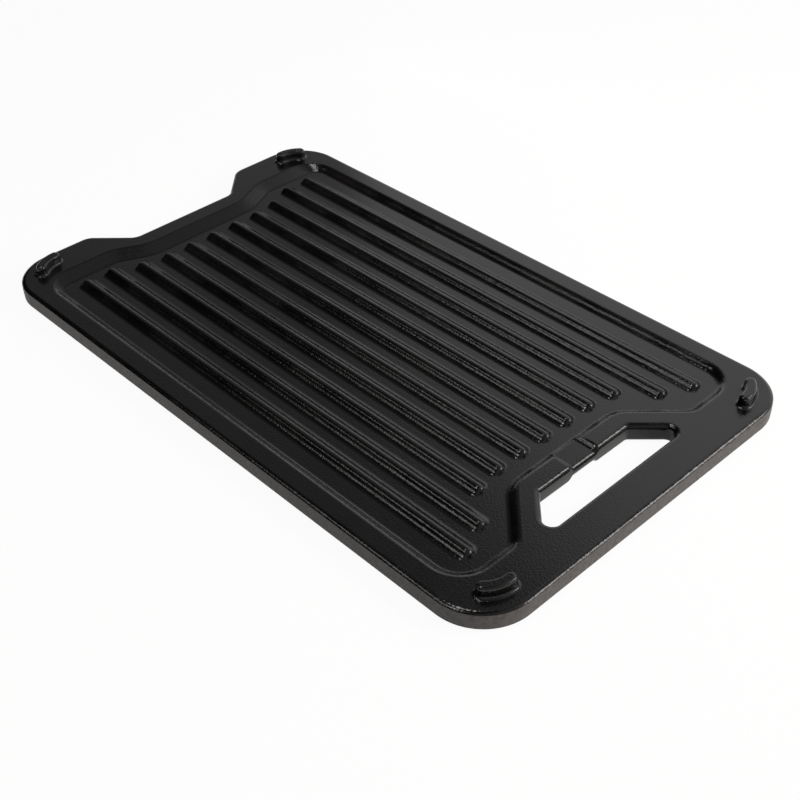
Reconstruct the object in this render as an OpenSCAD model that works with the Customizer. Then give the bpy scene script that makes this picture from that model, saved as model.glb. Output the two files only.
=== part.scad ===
// Reversible cast-iron griddle plate, with its ribbed grilling face up and its flat face down.
// Millimetres, +Z up. The origin is under the middle of the plate, on the surface that it rests on.
// The hand hole and the pouring spout are at the +X end and the open notch is at the -X end.

/* [Plate] */
// Length of the plate, from the notched end to the hand-hole end
plate_l = 460.6; // [430:0.1:520]
// Width of the plate
plate_w = 274.4; // [250:0.1:320]
// Thickness of the rim, from its underside to its top
plate_t = 12.8; // [12:0.1:16]
// Plan radius of the four outer corners
corner_r = 34.3; // [30:0.1:45]
// Radius that rounds the outer edges of the top and the underside
edge_r = 4.1; // [1:0.1:5]
// Angle that this rounding turns through before it meets the side face in a crisp line
edge_turn = 52; // [30:1:80]
// Slope of the drafted walls, away from the parting line at half the thickness
wall_draft = 1.5; // [0:0.5:6]

/* [Notch] */
// Depth of the notch in the end
notch_depth = 25; // [18:0.1:32]
// Width of the notch at its bottom
notch_w = 86; // [70:1:100]
// Plan radius of the corners at the mouth of the notch
notch_mouth_r = 12; // [4:0.5:16]
// Plan radius of the corners at the bottom of the notch
notch_bottom_r = 10; // [4:0.5:16]

/* [Hand hole] */
// Strip of rim left between the hand hole and the end of the plate
grip_w = 26.4; // [20:0.1:35]
// Opening of the hand hole along the plate
hole_w = 24.2; // [20:0.1:30]
// Length of the hand hole's inner side, across the plate
hole_l = 78; // [60:1:90]
// Plan radius of the sharp corners of the hand hole
hole_tip_r = 5.2; // [4:0.1:8]
// Plan radius of the blunt corners of the hand hole
hole_bend_r = 3; // [1:0.5:8]
// Radius that rounds the edges of the hand hole
hole_edge_r = 3.6; // [2:0.1:4]

/* [Basins] */
// Depth of the ribbed basin below the rim
basin_depth = 3.8; // [2.8:0.1:5]
// Depth of the flat basin on the underside
griddle_depth = 3.2; // [2.6:0.1:4]
// Width of the rim along the long sides
side_rim = 12.7; // [9:0.1:15]
// Width of the rim at the notched end, beside the notch
notch_end_rim = 27.2; // [22:0.1:34]
// Width of the rim at the hand-hole end, beside the hand hole
hole_end_rim = 28.6; // [24:0.1:34]
// Width of the rim round the bottom of the notch
notch_rim = 14.1; // [10:0.1:18]
// Width of the bar between the basin and the hand hole
bar_w = 11.2; // [9:0.1:16]
// Half width of the bulge that the basin's edge makes round the notch, where it leaves the end
bulge_foot = 66; // [58:1:72]
// Half width of that bulge where it is straight
bulge_top = 42; // [36:1:46]
// Plan radius of the bends where the bulge leaves the end
bulge_foot_r = 31; // [24:1:34]
// Plan radius of the bends at the bulge's straight part
bulge_top_r = 23.5; // [16:0.5:26]
// Plan radius of the basin's blunt corners beside the hand hole
basin_bend_r = 15; // [11:0.5:18]
// Plan radius of the basin's corners at the rim
basin_corner_r = 24; // [14:0.5:26]
// Run of the sloping basin walls, from rim to floor
wall_run = 8.2; // [5:0.1:10]
// Run of the gentler ramp at the notched end, from rim to floor
ramp_run = 13.4; // [10:0.1:20]

/* [Spout] */
// Width of the spout at the rim's level
spout_w = 27.3; // [20:0.1:36]
// Width of the spout's flat bottom
spout_bottom_w = 17.6; // [10:0.1:19]
// Depth of the spout below the rim, the same on both faces
spout_depth = 2.5; // [1:0.1:2.6]
// Radius that rounds the spout's bottom over into the basin
spout_r = 3; // [1:0.1:4]

/* [Ribs] */
// Number of ribs
rib_count = 11; // [5:2:11]
// Distance from the plate's long sides to the middle lines of the outermost ribs
rib_edge_gap = 37.5; // [35:0.1:45]
// Height of the ribs above the basin floor
rib_h = 3.5; // [3.4:0.1:4]
// Width of a rib's top, measured to where its flanks would meet it
rib_top_w = 3.6; // [3.5:0.1:6]
// Lean of a rib's flanks from upright
rib_draft = 42; // [41:1:50]
// Radius along a rib's top edges, which leaves almost no flat between them
rib_crest_r = 3.6; // [1:0.1:3.8]
// Radius where a rib's flanks run out into the floor
rib_fillet_r = 6.2; // [2:0.1:6.7]
// Length of a rib's domed ends at the floor
rib_end_r = 4.2; // [3:0.1:7]
// Clear floor between the ribs' ends and the walls at the hand-hole end
rib_near_gap = 7.6; // [3:0.1:12]
// Clear floor between the ribs' ends and the slanted walls beside the hand hole
rib_slant_gap = 8.7; // [4:0.1:14]
// Clear floor between the ribs' ends and the ramp at the notched end
rib_far_gap = 5; // [0.3:0.1:12]

/* [Feet] */
// Height of the feet above the rim
foot_h = 7.2; // [5:0.1:12]
// Width of a foot's top, measured to where its sides would meet it
foot_top_w = 6.6; // [4:0.1:8]
// Distance from the plate's edge to the middle line of a foot
foot_edge_gap = 14.1; // [12:0.1:15]
// Angle round the corner at which a foot starts, measured from the long axis
foot_start = 0; // [0:1:20]
// Angle round the corner that a foot's middle line covers
foot_span = 46; // [20:1:50]
// Lean of a foot's sides from upright
foot_draft = 6; // [2:1:12]
// Radius along a foot's top edges
foot_crest_r = 2.2; // [0.5:0.1:2.6]
// Radius where a foot's sides run out into the rim
foot_fillet_r = 2; // [0.5:0.1:2.5]

/* [Hidden] */
iron = [0.16, 0.16, 0.165];
worn_iron = [0.24, 0.24, 0.245];
// Segments in a wide plan corner, a plan bend, a rounded edge and one curve of a slope or a bead
corner_steps = 10;
bend_steps = 5;
edge_steps = 4;
curve_steps = 4;
// How far a cutting shape reaches past the face that it cuts
overcut = 2;
// Shares of a wall's and of the ramp's run from their ends to where the lines of their curves meet
wall_crest = 0.24;
wall_foot = 0.24;
ramp_crest = 0.07;
ramp_foot = 0.09;
// Share of the ramp's run by which the bulge round the notch widens down the ramp
bulge_spread = 0.25;
floor_z = plate_t - basin_depth;
end_x = plate_l / 2;
side_y = plate_w / 2;
notch_x = -end_x + notch_depth;
hole_outer_x = end_x - grip_w;
hole_inner_x = hole_outer_x - hole_w;
rib_pitch = (plate_w - 2 * rib_edge_gap) / (rib_count - 1);
rib_names = [for (i = [1:rib_count]) str("grill_rib_", i < 10 ? "0" : "", i)];
foot_names = ["foot_hole_front", "foot_hole_back", "foot_notch_front", "foot_notch_back"];
foot_sides = [[1, -1], [1, 1], [-1, -1], [-1, 1]];

// A unit vector along v
function unit(v) = v / norm(v);

// Arc at one corner [x, y, radius, segments] of an anticlockwise outline moved inward by inset
function corner_arc(before, corner, after, inset) =
    corner[3] == 0 ? [[corner[0], corner[1]]] : let (
        at = [corner[0], corner[1]],
        into = unit(at - [before[0], before[1]]),
        out = unit([after[0], after[1]] - at),
        turn = atan2(into[0] * out[1] - into[1] * out[0], into * out),
        centre = at + unit(out - into) * corner[2] / cos(turn / 2),
        r = corner[2] - sign(turn) * inset,
        start = atan2(-into[0], into[1]) + (turn > 0 ? 0 : 180)
    )
    [for (i = [0:corner[3]]) let (a = start + turn * i / corner[3]) centre + r * [cos(a), sin(a)]];

// Points of a closed outline with rounded corners, as many of them at any inset
function outline(corners, inset = 0) =
    let (n = len(corners))
    [for (i = [0:n - 1])
        each corner_arc(corners[(i + n - 1) % n], corners[i], corners[(i + 1) % n], inset)];

// A list of corners given for y > 0 in anticlockwise order, completed by its mirror image
function both_sides(half) =
    concat(half, [for (i = [len(half) - 1:-1:0]) [half[i][0], -half[i][1], half[i][2], half[i][3]]]);

// The same corners, starting from the y < 0 half
function flipped(corners) =
    let (n = len(corners))
    [for (i = [0:n - 1]) corners[(i + n / 2) % n]];

// Outer outline of the plate, with the notch in its -X end
plate_corners = both_sides([
    [end_x, side_y, corner_r, corner_steps],
    [-end_x, side_y, corner_r, corner_steps],
    [-end_x, notch_w / 2 + notch_depth, notch_mouth_r, bend_steps],
    [notch_x, notch_w / 2, notch_bottom_r, bend_steps]
]);

// Outline of the hand hole, a trapezoid with its ends slanted by 45 degrees
hole_corners = both_sides([
    [hole_outer_x, hole_l / 2 + hole_w, hole_tip_r, corner_steps],
    [hole_inner_x, hole_l / 2, hole_bend_r, bend_steps]
]);

// Half length of the inner side of an outline that keeps a distance from the hand hole
function round_hole_y(distance) = hole_l / 2 + distance * (sqrt(2) - 1);

// Share of a slope's run at a share d of its depth. The slope leaves a level edge in a convex curve
// and reaches a level floor in a concave one.
function slope_share(d, crest, foot) =
    let (middle = 1 - crest - foot)
    d * middle <= crest ? sqrt(4 * crest * d * middle)
        : (1 - d) * middle <= foot ? 1 - sqrt(4 * foot * (1 - d) * middle)
        : crest + d * middle;

// Shares of a slope's depth at which its rings lie, closest together at its two ends
depth_shares = concat(
    [for (i = [0:curve_steps]) pow(i / curve_steps, 2) / 2],
    [for (i = [curve_steps - 1:-1:0]) 1 - pow(i / curve_steps, 2) / 2]
);

// Outline of a basin at a share d of its depth. It keeps the bar's width from the hand hole, and its
// -X end moves in faster than the rest. It starts where all of it can be seen from.
function basin_corners(d) =
    let (
        run = wall_run * slope_share(d, wall_crest, wall_foot),
        ramp = ramp_run * slope_share(d, ramp_crest, ramp_foot),
        spread = ramp * bulge_spread,
        bar_x = hole_inner_x - bar_w - run,
        bar_y = round_hole_y(bar_w + run),
        near_x = end_x - hole_end_rim - run,
        far_x = -end_x + notch_end_rim + ramp,
        bulge_x = notch_x + notch_rim + ramp,
        y = side_y - side_rim - run
    )
    concat([[far_x / 4, y, 0, 0]], both_sides([
        [far_x, y, basin_corner_r - run, corner_steps],
        [far_x, bulge_foot + spread, bulge_foot_r - ramp, bend_steps],
        [bulge_x, bulge_top + spread, bulge_top_r + ramp, bend_steps]
    ]), flipped(both_sides([
        [bar_x, bar_y, hole_bend_r + bar_w + run, bend_steps],
        [near_x, bar_y + near_x - bar_x, basin_bend_r - run, bend_steps],
        [near_x, y, basin_corner_r - run, corner_steps]
    ])));

// Rounded edge as pairs [distance in from the face, distance from the top], top edge first
function edge_curve(r, turn) =
    [for (i = [0:edge_steps]) let (a = turn * i / edge_steps)
        [r * (sin(turn) - sin(a)), r * (1 - cos(a))]];

// How far a drafted wall leans in from the parting line to where a rounded edge starts
function draft_run(r, turn) = (plate_t / 2 - r * (1 - cos(turn))) * tan(wall_draft);

// Half section of a raised bead, as pairs [distance from its middle, height], from the toe of the
// concave curve at its base, up a leaning flank, to the shoulder of the convex curve at its top
function bead_half(top_w, h, draft, crest_r, fillet_r) =
    let (
        lean = 90 - draft,
        toe = top_w / 2 + h * tan(draft) + fillet_r * tan(lean / 2),
        shoulder = top_w / 2 - crest_r * tan(lean / 2)
    )
    concat(
        [for (i = [0:curve_steps]) let (a = lean * i / curve_steps)
            [toe - fillet_r * sin(a), fillet_r * (1 - cos(a))]],
        [for (i = [curve_steps:-1:0]) let (a = lean * i / curve_steps)
            [shoulder + crest_r * sin(a), h - crest_r * (1 - cos(a))]]
    );

rib_half = bead_half(rib_top_w, rib_h, rib_draft, rib_crest_r, rib_fillet_r);
foot_half = bead_half(foot_top_w, foot_h, foot_draft, foot_crest_r, foot_fillet_r);
rib_toe = rib_half[0][0];
// How far a rib's end reaches past its straight part, at 45 degrees to the plate's length
rib_slant_reach = sqrt((pow(rib_end_r, 2) + pow(rib_toe, 2)) / 2);
// Half width of the narrow flat along a rib's top
rib_flat = rib_half[len(rib_half) - 1][0];

// Solid through a stack of rings [outline points, height], each with as many points
module loft(rings) {
    n = len(rings[0][0]);
    last = len(rings) - 1;
    points = [for (ring = rings) each [for (p = ring[0]) [p[0], p[1], ring[1]]]];
    bottom = [for (i = [0:n - 1]) i];
    top = [for (i = [n - 1:-1:0]) last * n + i];
    sides = [for (k = [0:last - 1], i = [0:n - 1])
        let (j = (i + 1) % n)
        [k * n + i, (k + 1) * n + i, (k + 1) * n + j, k * n + j]];
    polyhedron(points, concat([bottom], sides, [top]));
}

// The plate without its openings
module plate_body() {
    lean = draft_run(edge_r, edge_turn);
    lower = [for (e = edge_curve(edge_r, edge_turn)) [outline(plate_corners, lean + e[0]), e[1]]];
    upward = [for (i = [edge_steps:-1:0]) [lower[i][0], plate_t - lower[i][1]]];
    loft(concat(lower, [[outline(plate_corners), plate_t / 2]], upward));
}

// What the hand hole takes away, narrowest at the parting line
module hole_cut() {
    lower = [for (e = edge_curve(hole_edge_r, 90)) [outline(hole_corners, -e[0]), e[1]]];
    upward = [for (i = [edge_steps:-1:0]) [lower[i][0], plate_t - lower[i][1]]];
    middle = [outline(hole_corners, draft_run(hole_edge_r, 90)), plate_t / 2];
    below = [lower[0][0], -overcut];
    above = [lower[0][0], plate_t + overcut];
    loft(concat([below], lower, [middle], upward, [above]));
}

// What a basin takes away from the top face
module basin_cut(depth) {
    last = len(depth_shares) - 1;
    walls = [for (i = [last:-1:0])
        [outline(basin_corners(depth_shares[i])), plate_t - depth * depth_shares[i]]];
    loft(concat(walls, [[outline(basin_corners(0)), plate_t + overcut]]));
}

// Section of the spout, lowered by drop, as seen along the plate
function spout_section(drop) =
    let (
        half = spout_w / 2,
        in = half - spout_bottom_w / 2,
        flank = [for (d = depth_shares)
            [half - in * slope_share(d, wall_crest, wall_foot), plate_t - drop - spout_depth * d]],
        right = concat([[half, plate_t + overcut]], flank),
        n = len(right)
    )
    concat([for (p = right) [-p[0], p[1]]], [for (i = [n - 1:-1:0]) right[i]]);

// What the spout takes away from the top of the bar beside a basin of some depth. Its bottom rounds
// over into the basin's sloping wall and into the hand hole.
module spout_cut(depth) {
    bar_x = hole_inner_x - bar_w;
    tilt = atan2(depth, wall_run * (1 - wall_crest - wall_foot));
    meet_x = bar_x - wall_run * wall_crest - spout_depth / tan(tilt);
    roll_x = meet_x + spout_r * tan(tilt / 2);
    into = [for (i = [edge_steps:-1:0]) let (a = tilt * i / edge_steps)
        [spout_section(spout_r * (1 - cos(a))), roll_x - spout_r * sin(a)]];
    out = [for (i = [0:edge_steps]) let (a = 90 * i / edge_steps)
        [spout_section(hole_edge_r * (1 - cos(a))), hole_inner_x - hole_edge_r * (1 - sin(a))]];
    first = [into[0][0], bar_x - wall_run - overcut];
    last = [out[edge_steps][0], hole_inner_x + overcut];
    rotate([90, 0, 90]) loft(concat([first], into, out, [last]));
}

// Puts its children on the underside, upside down
module underside() {
    translate([0, 0, plate_t]) mirror([0, 0, 1]) children();
}

module griddle_plate() {
    color(iron)
    difference() {
        plate_body();
        hole_cut();
        basin_cut(basin_depth);
        underside() basin_cut(griddle_depth);
        spout_cut(basin_depth);
        underside() spout_cut(griddle_depth);
    }
}

// Place across the plate of rib i
function rib_y(i) = (i - (rib_count + 1) / 2) * rib_pitch;

// Where a rib's middle line ends towards the hand hole: short of the bar, the slanted wall and the end
function rib_near_x(y) =
    let (
        room = wall_run + rib_near_gap + rib_end_r,
        slant = bar_w + wall_run + rib_slant_gap + rib_slant_reach,
        slant_x = hole_inner_x - slant + abs(y) - round_hole_y(slant)
    )
    min(end_x - hole_end_rim - room, max(hole_inner_x - bar_w - room, slant_x));

// Where a rib's middle line ends towards the notch: short of the ramp, as it is on the inner side
function rib_far_x(y) =
    let (
        room = ramp_run + rib_far_gap + rib_end_r,
        top_y = bulge_top + ramp_run * bulge_spread,
        share = (abs(y) - rib_toe - top_y) / (bulge_foot - bulge_top),
        bulge_rim = notch_depth + notch_rim
    )
    -end_x + room + bulge_rim + (notch_end_rim - bulge_rim) * min(max(share, 0), 1);

// How far a rib's end reaches past its straight part at some height, upright at the floor and level
// at the top
function rib_reach(h) = rib_flat + (rib_end_r - rib_flat) * sqrt(1 - pow(h / rib_h, 2));

// Outline of a long bar with half ellipses at its two ends
function straight_bar(half, reach, far, near) =
    let (turns = [for (i = [0:corner_steps]) 180 * i / corner_steps - 90])
    concat(
        [for (a = turns) [near + reach * cos(a), half * sin(a)]],
        [for (a = turns) [far - reach * cos(a), -half * sin(a)]]
    );

module grill_rib(i) {
    y = rib_y(i);
    color(worn_iron)
    translate([0, y, floor_z])
        loft([for (p = rib_half)
            [straight_bar(p[0], rib_reach(p[1]), rib_far_x(y), rib_near_x(y)), p[1]]]);
}

// A point at radius r and angle a round a corner's centre
function polar(r, a) = r * [cos(a), sin(a)];

// Outline of a curved bar with round ends, half its width each side of an arc round the origin. It
// starts at the middle of the outer side.
function curved_bar(half, arc_r, start, span) =
    let (
        end = start + span,
        middle = start + span / 2,
        first = polar(arc_r, start),
        last = polar(arc_r, end)
    )
    concat(
        [for (i = [0:bend_steps - 1]) polar(arc_r + half, middle + span / 2 * i / bend_steps)],
        [for (i = [0:corner_steps]) last + polar(half, end + 180 * i / corner_steps)],
        [for (i = [1:bend_steps - 1]) polar(arc_r - half, end - span * i / bend_steps)],
        [for (i = [0:corner_steps]) first + polar(half, start + 180 + 180 * i / corner_steps)],
        [for (i = [1:bend_steps - 1]) polar(arc_r + half, start + span / 2 * i / bend_steps)]
    );

// A foot on the corner at +X and +Y, following the corner's arc
module corner_foot() {
    translate([end_x - corner_r, side_y - corner_r, plate_t])
        loft([for (p = foot_half)
            [curved_bar(p[0], corner_r - foot_edge_gap, foot_start, foot_span), p[1]]]);
}

// The foot at one corner, mirrored there from the +X and +Y corner
module foot(side) {
    color(worn_iron)
    mirror([side[0] < 0 ? 1 : 0, 0, 0]) mirror([0, side[1] < 0 ? 1 : 0, 0]) corner_foot();
}

griddle_plate();
for (i = [1:rib_count]) grill_rib(i);
for (i = [0:3]) foot(foot_sides[i]);
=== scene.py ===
# Looks of a reversible cast-iron griddle plate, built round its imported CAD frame.
import math

import bmesh
import bpy
import numpy as np
from mathutils import Matrix


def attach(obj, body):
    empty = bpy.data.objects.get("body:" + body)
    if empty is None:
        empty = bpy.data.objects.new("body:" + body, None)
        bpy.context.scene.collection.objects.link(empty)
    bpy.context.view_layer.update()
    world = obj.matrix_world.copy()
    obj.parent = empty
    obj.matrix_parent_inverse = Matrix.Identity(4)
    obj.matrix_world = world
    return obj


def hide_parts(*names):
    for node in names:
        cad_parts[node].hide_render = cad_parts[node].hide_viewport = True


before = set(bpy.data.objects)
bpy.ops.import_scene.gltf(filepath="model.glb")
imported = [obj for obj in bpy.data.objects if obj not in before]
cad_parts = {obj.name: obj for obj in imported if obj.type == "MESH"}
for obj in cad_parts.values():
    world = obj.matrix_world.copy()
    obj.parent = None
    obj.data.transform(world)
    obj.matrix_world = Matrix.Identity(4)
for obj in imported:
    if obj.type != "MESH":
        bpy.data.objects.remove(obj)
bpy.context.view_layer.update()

MM = 0.001

# Sizes of the CAD source, in millimetres and degrees
PLATE_L, PLATE_W, PLATE_T = 460.6, 274.4, 12.8
CORNER_R, EDGE_R, EDGE_TURN, WALL_DRAFT = 34.3, 4.1, 52.0, 1.5
NOTCH_DEPTH, NOTCH_W, NOTCH_MOUTH_R, NOTCH_BOTTOM_R = 25.0, 86.0, 12.0, 10.0
GRIP_W, HOLE_W, HOLE_L = 26.4, 24.2, 78.0
HOLE_TIP_R, HOLE_BEND_R, HOLE_EDGE_R = 5.2, 3.0, 3.6
BASIN_DEPTH, GRIDDLE_DEPTH = 3.8, 3.2
SIDE_RIM, NOTCH_END_RIM, HOLE_END_RIM, NOTCH_RIM, BAR_W = 12.7, 27.2, 28.6, 14.1, 11.2
BULGE_FOOT, BULGE_TOP, BULGE_FOOT_R, BULGE_TOP_R = 66.0, 42.0, 31.0, 23.5
BASIN_BEND_R, BASIN_CORNER_R, WALL_RUN, RAMP_RUN = 15.0, 24.0, 8.2, 13.4
SPOUT_W, SPOUT_BOTTOM_W, SPOUT_DEPTH, SPOUT_R = 27.3, 17.6, 2.5, 3.0
RIB_COUNT, RIB_EDGE_GAP, RIB_H, RIB_TOP_W, RIB_DRAFT = 11, 37.5, 3.5, 3.6, 42.0
RIB_CREST_R, RIB_FILLET_R, RIB_END_R = 3.6, 6.2, 4.2
RIB_NEAR_GAP, RIB_SLANT_GAP, RIB_FAR_GAP = 7.6, 8.7, 5.0
FOOT_H, FOOT_TOP_W, FOOT_EDGE_GAP, FOOT_START, FOOT_SPAN = 7.2, 6.6, 14.1, 0.0, 46.0
FOOT_DRAFT, FOOT_CREST_R, FOOT_FILLET_R = 6.0, 2.2, 2.0
WALL_CREST, WALL_FOOT, RAMP_CREST, RAMP_FOOT, BULGE_SPREAD = 0.24, 0.24, 0.07, 0.09, 0.25
# How much faster the basin's corners at the ramp tighten towards the floor than the others
RAMP_CORNER_PULL = 2.2

# Segments in a wide plan corner, a plan bend, a rounded edge and one curve of a slope or a bead
CORNER_STEPS, BEND_STEPS, EDGE_STEPS, CURVE_STEPS = 28, 14, 9, 9
# How far cutters reach past the metal, and how close points are when they become one
OVERCUT, WELD = 2.0, 0.002
# Angles between faces, in degrees, from which an edge is shaded as a crease
PLATE_CREASE, BEAD_CREASE = 40, 60
# Weight at which the largest faces set the smooth normals
AREA_WEIGHT = 100

# Noise in the iron: scale per metre, detail, roughness
GRAIN_NOISE = (780.0, 1.0, 0.4)
LUMP_NOISE = (300.0, 3.0, 0.5)
PATCH_NOISE = (28.0, 4.0, 0.6)
# Heights of the bumps in metres
LUMP_HEIGHT, GRAIN_HEIGHT = 0.00002, 0.00011
# Smooth ramps: where they start and end, and their values there.
# On |x| and |y|: past the hand hole, and past the basin. On z: below the top edge
PAST_HOLE = (0.2035, 0.205, 0.0, 1.0)
PAST_BASIN = (0.125, 0.128, 0.0, 1.0)
BELOW_RIM = (0.0115, 0.0125, 1.0, 0.0)
# On the upward share of a normal: upright faces, and the rounded edges between steep and level
UPRIGHT = (0.3, 0.6, 1.0, 0.0)
EDGE_FROM = (0.45, 0.7, 0.0, 1.0)
EDGE_TO = (0.8, 0.97, 1.0, 0.0)
# On the noise: where the rounded edges take a painted sheen, and the roughness of the oil film
# and of the grain in it
EDGE_SHEEN_PATCHES = (0.4, 0.65, 0.0, 1.0)
FILM_ROUGH = (0.3, 0.7, 0.14, 0.18)
GRAIN_ROUGH = (0.35, 0.65, -0.02, 0.03)
# Roughness added on the outer sides and along the rounded edges
SIDE_ROUGH, EDGE_ROUGH = 0.3, 0.05
# Colours at the low and the high stop of the noise
NOISE_STOPS = (0.3, 0.7)
SKIN = ((0.0016, 0.0016, 0.0017, 1), (0.0030, 0.0028, 0.0027, 1))
# Painted sheen: a lighter colour in patches along the rounded edges, where highlights fall
PAINTED_EDGE_SHEEN = ((0.004, 0.0036, 0.0033, 1), (0.009, 0.008, 0.007, 1))
# Painted light: a lighter, warm colour on the outer sides, standing in for the white floor they
# mirror
PAINTED_SIDE_LIGHT = ((0.030, 0.0270, 0.0255, 1), (0.066, 0.058, 0.054, 1))
IRON_IOR = 1.5

# Floor: its size and depth in metres, and how white the camera and the mirroring faces see it
FLOOR_REACH, FLOOR_DROP = 30.0, 0.0002
CAMERA_WHITE, MIRROR_WHITE = 0.94, 0.42
# Colours of the floor, of the lights and of the dark cloth
PAPER, WHITE, CLOTH = (0.8, 0.8, 0.8, 1), (1, 1, 1, 1), (0.02, 0.02, 0.02, 1)

# World: smooth ramps on the parts of a direction, for the light that comes from there
BACK_DIM = (-0.1, 0.3, 0.015, 0.1)
RIGHT_DIM = (0.15, 0.6, 0.0, 0.3)
LOW_BAND = (0.69, 0.77, 0.13, 0.0)
LOWEST_BAND = (0.46, 0.56, 0.12, 0.0)
BANDS_BACK = (0.2, 0.5, 0.0, 1.0)
OVER_SIDE = (-0.48, -0.28, 0.0, 0.2)
OVER_HEIGHT = (0.70, 0.80, 0.0, 1.0)
OVER_BACK = (0.1, 0.3, 0.0, 1.0)
HORIZON = (0.05, 0.2, 1.0, 0.0)

# Dark cloth: radius, foot and top in metres, then its first and last angle and its points
CLOTH_R, CLOTH_FOOT, CLOTH_TOP = 3.0, 0.02, 1.6
CLOTH_ARC = (165, 285, 25)

# White card: its place in metres, the ramps at its sides and up its slanted fade, and its light
CARD_Y, CARD_LEFT, CARD_RIGHT, CARD_FOOT, CARD_TOP = 0.30, -0.44, 0.34, 0.001, 1.1
CARD_LEFT_FADE = (-0.385, -0.315, 0.0, 1.0)
CARD_RIGHT_FADE = (0.24, 0.34, 1.0, 0.0)
CARD_SLANT = -0.8
CARD_UP_FADE = (0.20, 0.82, 1.0, 0.0)
CARD_LIGHT = 0.88

# Soft boxes: name, direction, distance and size in metres, watts, colour, seen in mirroring faces
LAMPS = (
    ("right_box", (0.66, 0.54, 0.50), 1.6, (0.8, 0.35), 7.0, (1.0, 0.98, 0.96), True),
    ("front_box", (-0.39, -0.55, 0.73), 2.4, (1.0, 0.5), 4.2, (1.0, 0.99, 0.98), True),
    ("front_spot", (-0.06, -0.54, 0.84), 2.4, (0.5, 0.4), 7.5, (1.0, 0.99, 0.98), True),
    ("top_spot", (-0.16, -0.02, 0.98), 2.0, (0.35, 0.35), 4.0, (1.0, 0.99, 0.98), True),
    ("floor_fill", (0.75, 0.45, 0.50), 1.6, (0.8, 0.8), 20.0, (1.0, 0.93, 0.87), False),
)

# Camera: directions of its picture, its place in metres, and its lens in millimetres
CAMERA_RIGHT = np.array([0.69135488, 0.72221825, -0.02071798])
CAMERA_DOWN = np.array([0.44283038, -0.44621552, -0.77768436])
CAMERA_FORWARD = np.array([-0.57090252, 0.52848133, -0.62831345])
CAMERA_PLACE = (0.5055, -0.44418, 0.4948)
SENSOR_W, LENS = 36.0, 57.14
CLIP_START, CLIP_END = 0.01, 100.0

# Sockets of Blender's Mix node that carry colours: its two inputs and its output
MIX_FIRST, MIX_SECOND, MIX_RESULT = 6, 7, 2

END_X = PLATE_L / 2
SIDE_Y = PLATE_W / 2
FLOOR_Z = PLATE_T - BASIN_DEPTH
NOTCH_X = -END_X + NOTCH_DEPTH
HOLE_OUTER_X = END_X - GRIP_W
HOLE_INNER_X = HOLE_OUTER_X - HOLE_W
RIB_PITCH = (PLATE_W - 2 * RIB_EDGE_GAP) / (RIB_COUNT - 1)


def sind(a):
    return math.sin(math.radians(a))


def cosd(a):
    return math.cos(math.radians(a))


def tand(a):
    return math.tan(math.radians(a))


def unit(v):
    v = np.asarray(v, float)
    return v / np.linalg.norm(v)


def corner_arc(before, corner, after, inset):
    """Arc at one corner (x, y, radius, segments) of an anticlockwise outline moved inward."""
    at = np.array(corner[:2], float)
    into = unit(at - np.array(before[:2], float))
    out = unit(np.array(after[:2], float) - at)
    turn = math.degrees(math.atan2(into[0] * out[1] - into[1] * out[0], into @ out))
    centre = at + unit(out - into) * corner[2] / cosd(turn / 2)
    r = corner[2] - (1 if turn > 0 else -1) * inset
    start = math.degrees(math.atan2(-into[0], into[1])) + (0 if turn > 0 else 180)
    angles = [start + turn * i / corner[3] for i in range(corner[3] + 1)]
    return [centre + r * np.array([cosd(a), sind(a)]) for a in angles]


def outline(corners, inset=0.0):
    """Points of a closed outline with rounded corners, as many of them at any inset."""
    n = len(corners)
    points = []
    for i in range(n):
        points += corner_arc(corners[i - 1], corners[i], corners[(i + 1) % n], inset)
    return np.array(points)


def both_sides(half):
    """Corners given for y > 0, completed by their mirror image."""
    return half + [(x, -y, r, n) for x, y, r, n in reversed(half)]


def flipped(corners):
    """The same corners, starting half way round."""
    n = len(corners) // 2
    return corners[n:] + corners[:n]


PLATE_CORNERS = both_sides([
    (END_X, SIDE_Y, CORNER_R, CORNER_STEPS),
    (-END_X, SIDE_Y, CORNER_R, CORNER_STEPS),
    (-END_X, NOTCH_W / 2 + NOTCH_DEPTH, NOTCH_MOUTH_R, BEND_STEPS),
    (NOTCH_X, NOTCH_W / 2, NOTCH_BOTTOM_R, BEND_STEPS),
])
HOLE_CORNERS = both_sides([
    (HOLE_OUTER_X, HOLE_L / 2 + HOLE_W, HOLE_TIP_R, CORNER_STEPS),
    (HOLE_INNER_X, HOLE_L / 2, HOLE_BEND_R, BEND_STEPS),
])


def round_hole_y(distance):
    """Where an outline at a distance round the hand hole turns into its slant."""
    return HOLE_L / 2 + distance * (math.sqrt(2) - 1)


def slope_share(d, crest, foot):
    """Share of a slope's run at a share d of its depth, from a level edge to a level floor."""
    middle = 1 - crest - foot
    if d * middle <= crest:
        return math.sqrt(4 * crest * d * middle)
    if (1 - d) * middle <= foot:
        return 1 - math.sqrt(4 * foot * (1 - d) * middle)
    return crest + d * middle


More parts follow.
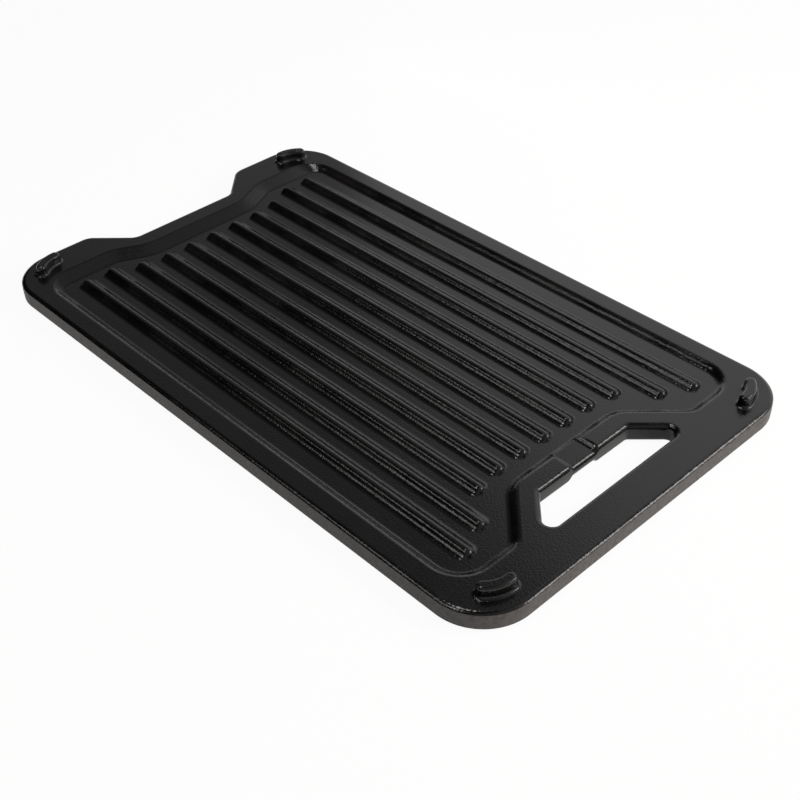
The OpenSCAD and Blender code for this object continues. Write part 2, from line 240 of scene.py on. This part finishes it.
def basin_corners(d):
    """Outline of a basin at a share d of its depth."""
    run = WALL_RUN * slope_share(d, WALL_CREST, WALL_FOOT)
    ramp = RAMP_RUN * slope_share(d, RAMP_CREST, RAMP_FOOT)
    spread = ramp * BULGE_SPREAD
    bar_x = HOLE_INNER_X - BAR_W - run
    bar_y = round_hole_y(BAR_W + run)
    near_x = END_X - HOLE_END_RIM - run
    far_x = -END_X + NOTCH_END_RIM + ramp
    bulge_x = NOTCH_X + NOTCH_RIM + ramp
    y = SIDE_Y - SIDE_RIM - run
    far_end = both_sides([
        (far_x, y, BASIN_CORNER_R - run * RAMP_CORNER_PULL, CORNER_STEPS),
        (far_x, BULGE_FOOT + spread, BULGE_FOOT_R - ramp, BEND_STEPS),
        (bulge_x, BULGE_TOP + spread, BULGE_TOP_R + ramp, BEND_STEPS),
    ])
    near_end = both_sides([
        (bar_x, bar_y, HOLE_BEND_R + BAR_W + run, BEND_STEPS),
        (near_x, bar_y + near_x - bar_x, BASIN_BEND_R - run, BEND_STEPS),
        (near_x, y, BASIN_CORNER_R - run, CORNER_STEPS),
    ])
    return far_end + flipped(near_end)


def depth_shares():
    """Shares of a slope's depth at which its rings lie, closest together at its two ends."""
    upper = [(i / CURVE_STEPS) ** 2 / 2 for i in range(CURVE_STEPS + 1)]
    return upper + [1 - d for d in upper[-2::-1]]


def edge_curve(r, turn):
    """Rounded edge as pairs (distance in from the face, distance from the top)."""
    angles = np.linspace(0, turn, EDGE_STEPS + 1)
    return [(r * (sind(turn) - sind(a)), r * (1 - cosd(a))) for a in angles]


def draft_run(r, turn):
    """How far a drafted side leans out between its rounded edge and mid height."""
    return (PLATE_T / 2 - r * (1 - cosd(turn))) * tand(WALL_DRAFT)


def bead_half(top_w, h, draft, crest_r, fillet_r):
    """Half section of a raised bead, as pairs (distance from its middle, height)."""
    lean = 90 - draft
    toe = top_w / 2 + h * tand(draft) + fillet_r * tand(lean / 2)
    shoulder = top_w / 2 - crest_r * tand(lean / 2)
    angles = np.linspace(0, lean, CURVE_STEPS + 1)
    base = [(toe - fillet_r * sind(a), fillet_r * (1 - cosd(a))) for a in angles]
    crest = [(shoulder + crest_r * sind(a), h - crest_r * (1 - cosd(a))) for a in angles[::-1]]
    return base + crest


def level(points, z):
    """Plan points as a level ring."""
    return np.column_stack([points, np.full(len(points), z)])


def add_object(name, data):
    made = bpy.data.objects.new(name, data)
    bpy.context.scene.collection.objects.link(made)
    return made


def loft(name, rings):
    """Closed solid through a stack of rings of 3-D points in millimetres."""
    n, last = len(rings[0]), len(rings) - 1
    mesh = bpy.data.meshes.new(name)
    points = np.concatenate(rings) * MM
    faces = [list(range(n))[::-1], [last * n + i for i in range(n)]]
    for k in range(last):
        for i in range(n):
            j = (i + 1) % n
            faces.append([k * n + i, k * n + j, (k + 1) * n + j, (k + 1) * n + i])
    mesh.from_pydata(points.tolist(), [], faces)
    made = bmesh.new()
    made.from_mesh(mesh)
    bmesh.ops.recalc_face_normals(made, faces=made.faces)
    made.to_mesh(mesh)
    made.free()
    return add_object(name, mesh)


def turned_over(rings):
    """The same rings on the underside."""
    return [ring * (1, 1, -1) + (0, 0, PLATE_T) for ring in rings]


def plate_rings():
    lean = draft_run(EDGE_R, EDGE_TURN)
    lower = [level(outline(PLATE_CORNERS, lean + inset), z)
             for inset, z in edge_curve(EDGE_R, EDGE_TURN)]
    return lower + [level(outline(PLATE_CORNERS), PLATE_T / 2)] + turned_over(lower)[::-1]


def hole_rings():
    lower = [(outline(HOLE_CORNERS, -inset), z) for inset, z in edge_curve(HOLE_EDGE_R, 90)]
    rings = [(lower[0][0], -OVERCUT)] + lower
    rings += [(outline(HOLE_CORNERS, draft_run(HOLE_EDGE_R, 90)), PLATE_T / 2)]
    rings += [(points, PLATE_T - z) for points, z in reversed(lower)]
    rings += [(lower[0][0], PLATE_T + OVERCUT)]
    return [level(points, z) for points, z in rings]


def basin_rings(depth):
    walls = [level(outline(basin_corners(d)), PLATE_T - depth * d)
             for d in reversed(depth_shares())]
    return walls + [level(outline(basin_corners(0)), PLATE_T + OVERCUT)]


def spout_rings(depth):
    """Sections of a spout across the bar, from a basin of a given depth into the hand hole."""
    half = SPOUT_W / 2
    flank_run = half - SPOUT_BOTTOM_W / 2
    bar_x = HOLE_INNER_X - BAR_W
    tilt = math.degrees(math.atan2(depth, WALL_RUN * (1 - WALL_CREST - WALL_FOOT)))
    meet_x = bar_x - WALL_RUN * WALL_CREST - SPOUT_DEPTH / tand(tilt)
    roll_x = meet_x + SPOUT_R * tand(tilt / 2)

    def section(x, drop):
        top = PLATE_T - drop
        flank = [(half - flank_run * slope_share(d, WALL_CREST, WALL_FOOT), top - SPOUT_DEPTH * d)
                 for d in depth_shares()]
        right = [(half, PLATE_T + OVERCUT)] + flank
        whole = [(-y, z) for y, z in right] + right[::-1]
        return np.array([(x, y, z) for y, z in whole])

    into = [(roll_x - SPOUT_R * sind(a), SPOUT_R * (1 - cosd(a)))
            for a in np.linspace(tilt, 0, EDGE_STEPS + 1)]
    out = [(HOLE_INNER_X - HOLE_EDGE_R * (1 - sind(a)), HOLE_EDGE_R * (1 - cosd(a)))
           for a in np.linspace(0, 90, EDGE_STEPS + 1)]
    stations = [(bar_x - WALL_RUN - OVERCUT, into[0][1])] + into + out
    stations += [(HOLE_INNER_X + OVERCUT, out[-1][1])]
    return [section(x, drop) for x, drop in stations]


def subtract(piece, cutters):
    """Takes the cutters away from a piece and removes them."""
    for cutter in cutters:
        cut = piece.modifiers.new("cut", "BOOLEAN")
        cut.operation = "DIFFERENCE"
        cut.solver = "EXACT"
        cut.object = cutter
    graph = bpy.context.evaluated_depsgraph_get()
    mesh = bpy.data.meshes.new_from_object(piece.evaluated_get(graph))
    piece.modifiers.clear()
    piece.data = mesh
    for cutter in cutters:
        bpy.data.objects.remove(cutter)
    made = bmesh.new()
    made.from_mesh(mesh)
    bmesh.ops.remove_doubles(made, verts=made.verts, dist=WELD * MM)
    bmesh.ops.dissolve_degenerate(made, edges=made.edges, dist=WELD * MM)
    made.to_mesh(mesh)
    made.free()


def plate_casting():
    piece = loft("plate_casting", plate_rings())
    cutters = [
        loft("cut_hole", hole_rings()),
        loft("cut_basin", basin_rings(BASIN_DEPTH)),
        loft("cut_griddle", turned_over(basin_rings(GRIDDLE_DEPTH))),
        loft("cut_spout", spout_rings(BASIN_DEPTH)),
        loft("cut_under_spout", turned_over(spout_rings(GRIDDLE_DEPTH))),
    ]
    subtract(piece, cutters)
    return piece


RIB_HALF = bead_half(RIB_TOP_W, RIB_H, RIB_DRAFT, RIB_CREST_R, RIB_FILLET_R)
FOOT_HALF = bead_half(FOOT_TOP_W, FOOT_H, FOOT_DRAFT, FOOT_CREST_R, FOOT_FILLET_R)
RIB_TOE = RIB_HALF[0][0]
RIB_FLAT = RIB_HALF[-1][0]
RIB_SLANT_REACH = math.sqrt((RIB_END_R ** 2 + RIB_TOE ** 2) / 2)


def rib_near_x(y):
    """Where the straight part of a rib ends at the hand hole."""
    room = WALL_RUN + RIB_NEAR_GAP + RIB_END_R
    slant = BAR_W + WALL_RUN + RIB_SLANT_GAP + RIB_SLANT_REACH
    slant_x = HOLE_INNER_X - slant + abs(y) - round_hole_y(slant)
    return min(END_X - HOLE_END_RIM - room, max(HOLE_INNER_X - BAR_W - room, slant_x))


def rib_far_x(y):
    """Where the straight part of a rib ends at the ramp."""
    room = RAMP_RUN + RIB_FAR_GAP + RIB_END_R
    top_y = BULGE_TOP + RAMP_RUN * BULGE_SPREAD
    share = (abs(y) - RIB_TOE - top_y) / (BULGE_FOOT - BULGE_TOP)
    bulge_rim = NOTCH_DEPTH + NOTCH_RIM
    return -END_X + room + bulge_rim + (NOTCH_END_RIM - bulge_rim) * min(max(share, 0), 1)


def grill_rib(i):
    y = (i - (RIB_COUNT + 1) / 2) * RIB_PITCH
    far, near = rib_far_x(y), rib_near_x(y)
    turns = np.linspace(-90, 90, CORNER_STEPS + 1)
    rings = []
    for half, h in RIB_HALF:
        reach = RIB_FLAT + (RIB_END_R - RIB_FLAT) * math.sqrt(1 - min(h / RIB_H, 1) ** 2)
        front = [(near + reach * cosd(a), y + half * sind(a)) for a in turns]
        back = [(far - reach * cosd(a), y - half * sind(a)) for a in turns]
        rings.append(level(np.array(front + back), FLOOR_Z + h))
    return loft(f"rib_{i:02d}", rings)


def polar(r, a):
    return r * np.array([cosd(a), sind(a)])


def corner_foot(name, side_x, side_y):
    """Bead bent round a corner of the plate, mirrored to the corner asked for."""
    arc_r = CORNER_R - FOOT_EDGE_GAP
    end = FOOT_START + FOOT_SPAN
    first, last = polar(arc_r, FOOT_START), polar(arc_r, end)
    along = np.linspace(FOOT_START, end, BEND_STEPS + 1)
    turns = np.linspace(0, 180, CORNER_STEPS + 1)
    rings = []
    for half, h in FOOT_HALF:
        points = [polar(arc_r + half, a) for a in along[:-1]]
        points += [last + polar(half, end + a) for a in turns[:-1]]
        points += [polar(arc_r - half, a) for a in along[:0:-1]]
        points += [first + polar(half, FOOT_START + 180 + a) for a in turns[:-1]]
        centred = np.array(points) + (END_X - CORNER_R, SIDE_Y - CORNER_R)
        rings.append(level(centred * (side_x, side_y), PLATE_T + h))
    return loft(name, rings)


def finish_mesh(piece, crease):
    """Smooth shading that keeps flat faces flat, with creases at steeper angles."""
    for face in piece.data.polygons:
        face.use_smooth = True
    piece.data.set_sharp_from_angle(angle=math.radians(crease))
    weighted = piece.modifiers.new("even_normals", "WEIGHTED_NORMAL")
    weighted.weight = AREA_WEIGHT
    weighted.keep_sharp = True


class Nodes:
    """Short calls to make and link shader nodes."""

    def __init__(self, tree):
        self.tree = tree
        tree.nodes.clear()

    def add(self, kind, inputs=None, **settings):
        made = self.tree.nodes.new(kind)
        for key, value in settings.items():
            setattr(made, key, value)
        for key, value in (inputs or {}).items():
            self.put(made.inputs[key], value)
        return made

    def put(self, socket, value):
        if isinstance(value, bpy.types.NodeSocket):
            self.tree.links.new(value, socket)
        else:
            socket.default_value = value

    def math(self, operation, *values):
        made = self.tree.nodes.new("ShaderNodeMath")
        made.operation = operation
        for socket, value in zip(made.inputs, values):
            self.put(socket, value)
        return made.outputs[0]

    def axes(self, vector):
        return self.add("ShaderNodeSeparateXYZ", {"Vector": vector}).outputs

    def ramp(self, value, low, high, to_low, to_high):
        made = self.add("ShaderNodeMapRange", {"Value": value, "From Min": low, "From Max": high,
                                               "To Min": to_low, "To Max": to_high})
        made.interpolation_type = "SMOOTHSTEP"
        return made.outputs["Result"]

    def blend(self, value, *colours):
        made = self.add("ShaderNodeValToRGB", {"Fac": value})
        for stop, place, colour in zip(made.color_ramp.elements, NOISE_STOPS, colours):
            stop.position = place
            stop.color = colour
        return made.outputs["Color"]

    def mix(self, share, first, second):
        made = self.add("ShaderNodeMix", {"Factor": share}, data_type="RGBA")
        self.put(made.inputs[MIX_FIRST], first)
        self.put(made.inputs[MIX_SECOND], second)
        return made.outputs[MIX_RESULT]

    def noise(self, vector, scale, detail, rough):
        made = self.add("ShaderNodeTexNoise", {"Vector": vector, "Scale": scale, "Detail": detail,
                                               "Roughness": rough})
        return made.outputs["Fac"]


def node_material(name):
    material = bpy.data.materials.new(name)
    material.use_nodes = True
    return material, Nodes(material.node_tree)


def iron_material():
    """Black seasoned cast iron: an oil film over a sand-cast skin."""
    material, n = node_material("seasoned_iron")
    place = n.add("ShaderNodeTexCoord").outputs["Object"]
    grain = n.noise(place, *GRAIN_NOISE)
    lumps = n.noise(place, *LUMP_NOISE)
    patches = n.noise(place, *PATCH_NOISE)

    swell = n.add("ShaderNodeBump", {"Strength": 1.0, "Distance": LUMP_HEIGHT, "Height": lumps})
    bump = n.add("ShaderNodeBump", {"Strength": 1.0, "Distance": GRAIN_HEIGHT, "Height": grain,
                                    "Normal": swell.outputs["Normal"]})
    facing = n.axes(n.add("ShaderNodeNewGeometry").outputs["Normal"])
    where = n.axes(place)
    level_share = n.math("ABSOLUTE", facing["Z"])
    outside = n.math("MAXIMUM", n.ramp(n.math("ABSOLUTE", where["X"]), *PAST_HOLE),
                     n.ramp(n.math("ABSOLUTE", where["Y"]), *PAST_BASIN))
    below_rim = n.math("MULTIPLY", outside, n.ramp(where["Z"], *BELOW_RIM))
    # Painted light: the outer sides below the rim take a lighter colour for the white floor they
    # mirror, and more roughness
    sides_painted_lit = n.math("MULTIPLY", n.ramp(level_share, *UPRIGHT), below_rim)
    edge = n.math("MULTIPLY", n.ramp(level_share, *EDGE_FROM), n.ramp(level_share, *EDGE_TO))
    # Painted sheen: patches of the rounded edges take a lighter colour and a little more
    # roughness
    edge_sheen = n.math("MULTIPLY", edge, n.ramp(patches, *EDGE_SHEEN_PATCHES))

    skin = n.blend(patches, *SKIN)
    edge_sheen_colour = n.blend(lumps, *PAINTED_EDGE_SHEEN)
    side_light_colour = n.blend(lumps, *PAINTED_SIDE_LIGHT)
    colour = n.mix(sides_painted_lit, n.mix(edge_sheen, skin, edge_sheen_colour), side_light_colour)
    film = n.math("ADD", n.ramp(patches, *FILM_ROUGH), n.ramp(grain, *GRAIN_ROUGH))
    film_and_edges = n.math("MULTIPLY_ADD", edge_sheen, EDGE_ROUGH, film)
    rough = n.math("MULTIPLY_ADD", sides_painted_lit, SIDE_ROUGH, film_and_edges)
    shader = n.add("ShaderNodeBsdfPrincipled", {
        "Base Color": colour,
        "Roughness": rough,
        "IOR": IRON_IOR,
        "Normal": bump.outputs["Normal"],
    })
    n.add("ShaderNodeOutputMaterial", {"Surface": shader.outputs["BSDF"]})
    return material


def floor_material():
    """White paper behind the object, light in its reflections, with a faint shadow on it."""
    material, n = node_material("white_floor")
    path = n.add("ShaderNodeLightPath").outputs
    mirrored = n.math("MAXIMUM", path["Is Glossy Ray"], path["Is Transmission Ray"])
    share = n.math("MULTIPLY_ADD", path["Is Camera Ray"], CAMERA_WHITE,
                   n.math("MULTIPLY", mirrored, MIRROR_WHITE))
    paper = n.add("ShaderNodeBsdfDiffuse", {"Color": PAPER})
    glow = n.add("ShaderNodeEmission", {"Color": WHITE, "Strength": 1.0})
    mixed = n.add("ShaderNodeMixShader", {"Fac": share, 1: paper.outputs["BSDF"],
                                          2: glow.outputs["Emission"]})
    n.add("ShaderNodeOutputMaterial", {"Surface": mixed.outputs["Shader"]})
    return material


def studio_world():
    """A white horizon, soft light behind and to the right of the object, and a dark ceiling."""
    world = bpy.data.worlds.new("studio")
    bpy.context.scene.world = world
    world.use_nodes = True
    n = Nodes(world.node_tree)
    axes = n.axes(n.add("ShaderNodeTexCoord").outputs["Generated"])
    dim = n.math("ADD", n.ramp(axes["Y"], *BACK_DIM), n.ramp(axes["X"], *RIGHT_DIM))
    bands = n.math("ADD", n.ramp(axes["Z"], *LOW_BAND), n.ramp(axes["Z"], *LOWEST_BAND))
    low = n.math("MULTIPLY", bands, n.ramp(axes["Y"], *BANDS_BACK))
    over = n.math("MULTIPLY", n.ramp(axes["X"], *OVER_SIDE), n.ramp(axes["Z"], *OVER_HEIGHT))
    back = n.math("MULTIPLY", over, n.ramp(axes["Y"], *OVER_BACK))
    glow = n.math("ADD", n.math("ADD", dim, low), back)
    strength = n.math("MAXIMUM", glow, n.ramp(axes["Z"], *HORIZON))
    shade = n.add("ShaderNodeBackground", {"Color": WHITE, "Strength": strength})
    n.add("ShaderNodeOutputWorld", {"Surface": shade.outputs["Background"]})


def dark_wall():
    """The unlit half of the studio, in front of the object, which its faces mirror."""
    foot = [(CLOTH_R * cosd(a), CLOTH_R * sind(a), CLOTH_FOOT) for a in np.linspace(*CLOTH_ARC)]
    top = [(x, y, CLOTH_TOP) for x, y, _ in foot]
    count = len(foot)
    faces = [(i, i + 1, count + i + 1, count + i) for i in range(count - 1)]
    mesh = bpy.data.meshes.new("dark_wall")
    mesh.from_pydata(foot + top, [], faces)
    material, n = node_material("dark_cloth")
    cloth = n.add("ShaderNodeBsdfDiffuse", {"Color": CLOTH})
    n.add("ShaderNodeOutputMaterial", {"Surface": cloth.outputs["BSDF"]})
    mesh.materials.append(material)
    wall = add_object("dark_wall", mesh)
    wall.visible_camera = False


def light_card():
    """White card behind the object, bright at its foot, which the level faces mirror."""
    mesh = bpy.data.meshes.new("light_card")
    corners = [(CARD_LEFT, CARD_Y, CARD_FOOT), (CARD_RIGHT, CARD_Y, CARD_FOOT),
               (CARD_RIGHT, CARD_Y, CARD_TOP), (CARD_LEFT, CARD_Y, CARD_TOP)]
    mesh.from_pydata(corners, [], [(0, 1, 2, 3)])
    material, n = node_material("lit_card")
    axes = n.axes(n.add("ShaderNodeTexCoord").outputs["Object"])
    sides = n.math("MULTIPLY", n.ramp(axes["X"], *CARD_LEFT_FADE),
                   n.ramp(axes["X"], *CARD_RIGHT_FADE))
    climb = n.math("MULTIPLY_ADD", axes["X"], CARD_SLANT, axes["Z"])
    share = n.math("MULTIPLY", sides, n.ramp(climb, *CARD_UP_FADE))
    lit = n.add("ShaderNodeEmission", {"Color": WHITE, "Strength": CARD_LIGHT})
    clear = n.add("ShaderNodeBsdfTransparent")
    mixed = n.add("ShaderNodeMixShader", {"Fac": share, 1: clear.outputs["BSDF"],
                                          2: lit.outputs["Emission"]})
    n.add("ShaderNodeOutputMaterial", {"Surface": mixed.outputs["Shader"]})
    mesh.materials.append(material)
    card = add_object("light_card", mesh)
    card.visible_camera = False
    card.visible_shadow = False


def soft_box(name, direction, distance, size, power, colour, mirrored):
    """Area lamp that stands in a direction from the object and faces it."""
    lamp = bpy.data.lights.new(name, "AREA")
    lamp.shape = "RECTANGLE"
    lamp.size, lamp.size_y = size
    lamp.energy = power
    lamp.color = colour
    holder = add_object(name, lamp)
    towards = unit(direction)
    side = unit(np.cross((0, 0, 1), towards))
    up = np.cross(towards, side)
    turn = Matrix(np.column_stack([side, up, towards]).tolist()).to_4x4()
    turn.translation = (towards * distance).tolist()
    holder.matrix_world = turn
    holder.visible_camera = False
    holder.visible_glossy = mirrored


def place_camera():
    """The photograph's view, worked out from the plate's corners, hand hole and ribs."""
    camera = add_object("camera", bpy.data.cameras.new("camera"))
    picture_axes = np.column_stack([CAMERA_RIGHT, -CAMERA_DOWN, -CAMERA_FORWARD])
    turn = Matrix(picture_axes.tolist()).to_4x4()
    turn.translation = CAMERA_PLACE
    camera.matrix_world = turn
    camera.data.sensor_width = SENSOR_W
    camera.data.lens = LENS
    camera.data.clip_start, camera.data.clip_end = CLIP_START, CLIP_END
    bpy.context.scene.camera = camera


def lay_floor():
    mesh = bpy.data.meshes.new("floor")
    signs = [(-1, -1), (1, -1), (1, 1), (-1, 1)]
    corners = [(x * FLOOR_REACH, y * FLOOR_REACH, 0) for x, y in signs]
    mesh.from_pydata(corners, [], [(0, 1, 2, 3)])
    floor = add_object("floor", mesh)
    floor.location.z = -FLOOR_DROP
    mesh.materials.append(floor_material())


place_camera()
lay_floor()
studio_world()
dark_wall()
light_card()
for lamp in LAMPS:
    soft_box(*lamp)

iron = iron_material()
pieces = [(plate_casting(), "griddle_plate", PLATE_CREASE)]
pieces += [(grill_rib(i), f"grill_rib_{i:02d}", BEAD_CREASE) for i in range(1, RIB_COUNT + 1)]
for end_name, side_x in (("hole", 1), ("notch", -1)):
    for side_name, side_y in (("front", -1), ("back", 1)):
        node = f"foot_{end_name}_{side_name}"
        pieces.append((corner_foot(f"corner_{node}", side_x, side_y), node, BEAD_CREASE))
for piece, node, crease in pieces:
    finish_mesh(piece, crease)
    piece.data.materials.clear()
    piece.data.materials.append(iron)
    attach(piece, "root")
    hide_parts(node)

bpy.context.scene.view_settings.view_transform = "Standard"
